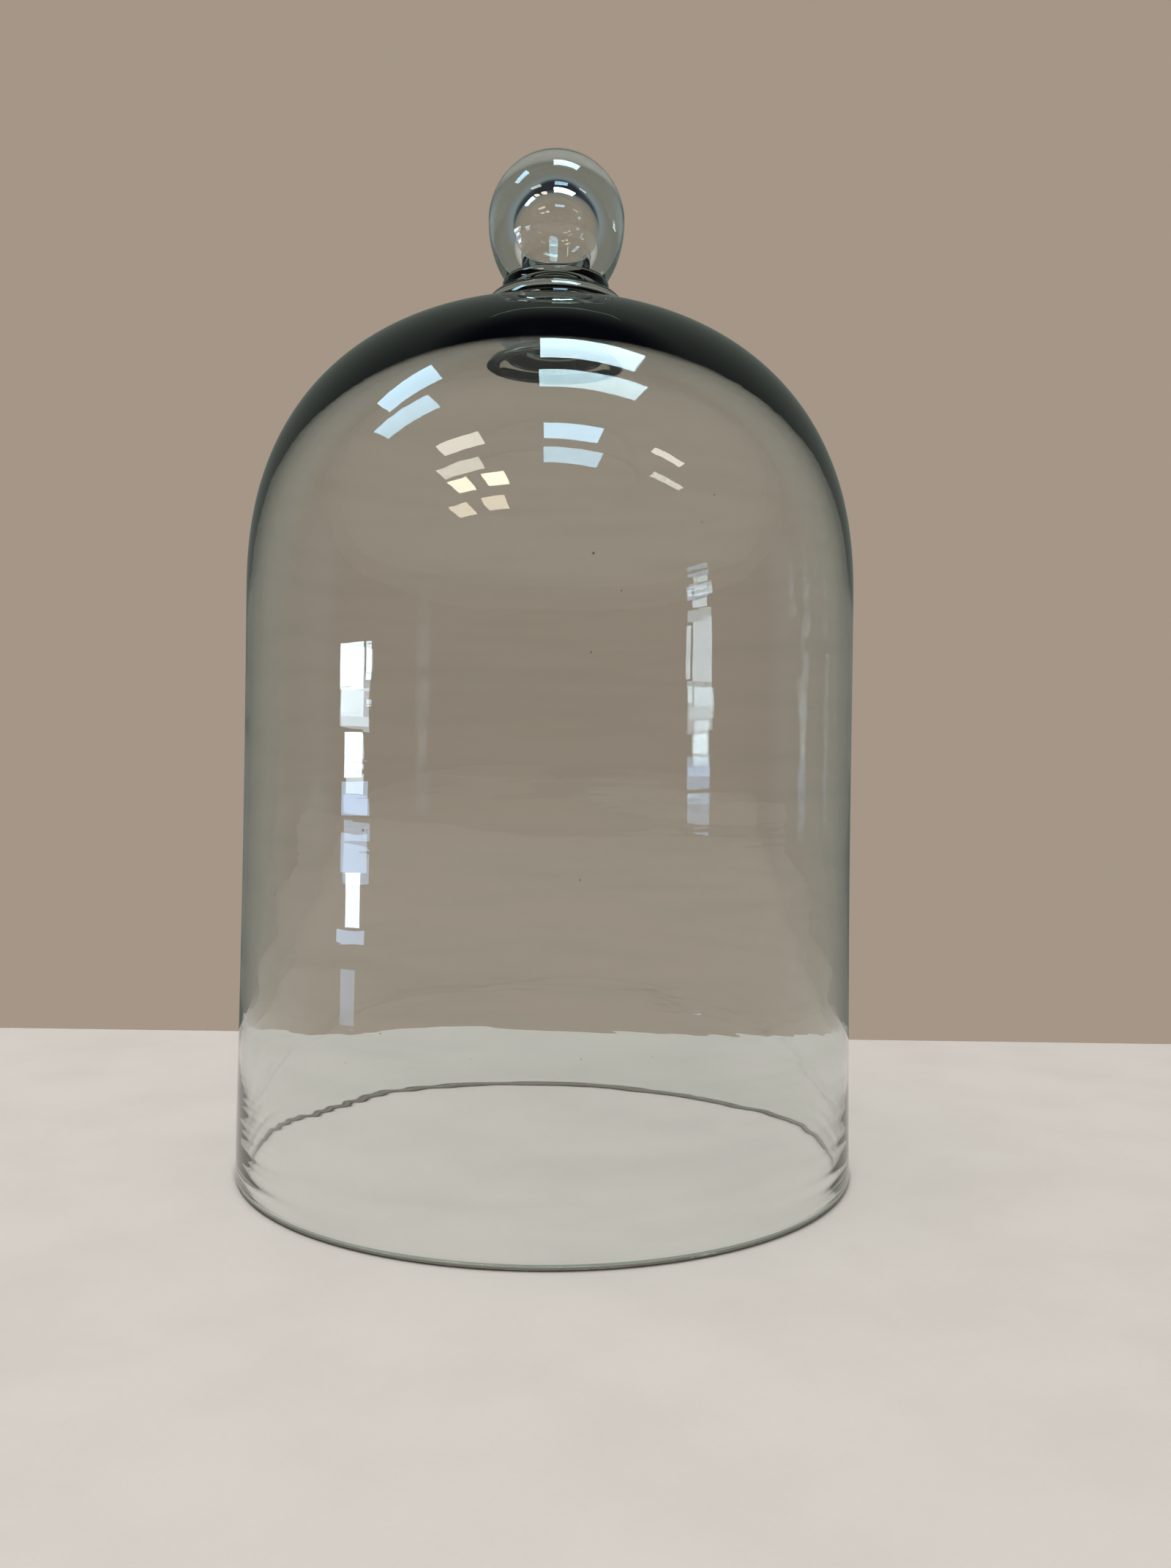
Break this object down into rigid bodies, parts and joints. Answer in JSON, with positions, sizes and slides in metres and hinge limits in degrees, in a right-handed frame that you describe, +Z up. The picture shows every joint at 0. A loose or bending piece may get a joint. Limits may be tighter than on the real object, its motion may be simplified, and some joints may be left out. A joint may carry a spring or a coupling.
{
  "type": "glass cloche",
  "caption": "Tall bell-shaped garden cloche of clear blown glass, open below on a flat rim, with a thick crown and a round fused knob to lift it by.",
  "frame": {"origin": "centre of the rim, in the plane that the bell stands on", "axes": "+Z up along the bell's axis, to the knob; X and Y are alike, since the body is turned"},
  "size_m": [0.305, 0.305, 0.5048],
  "materials": {
    "bell_glass": "clear blown glass, faint grey-green tint",
    "pad_glass": "thick clear glass, faint grey-green tint",
    "ring_glass": "thick clear glass, tooled edge",
    "knob_glass": "thick clear blown glass round a bubble"
  },
  "bodies": {
    "root": {"bell": "bell_glass", "crown_pad": "pad_glass", "neck_ring": "ring_glass", "knob": "knob_glass"}
  },
  "joints": []
}
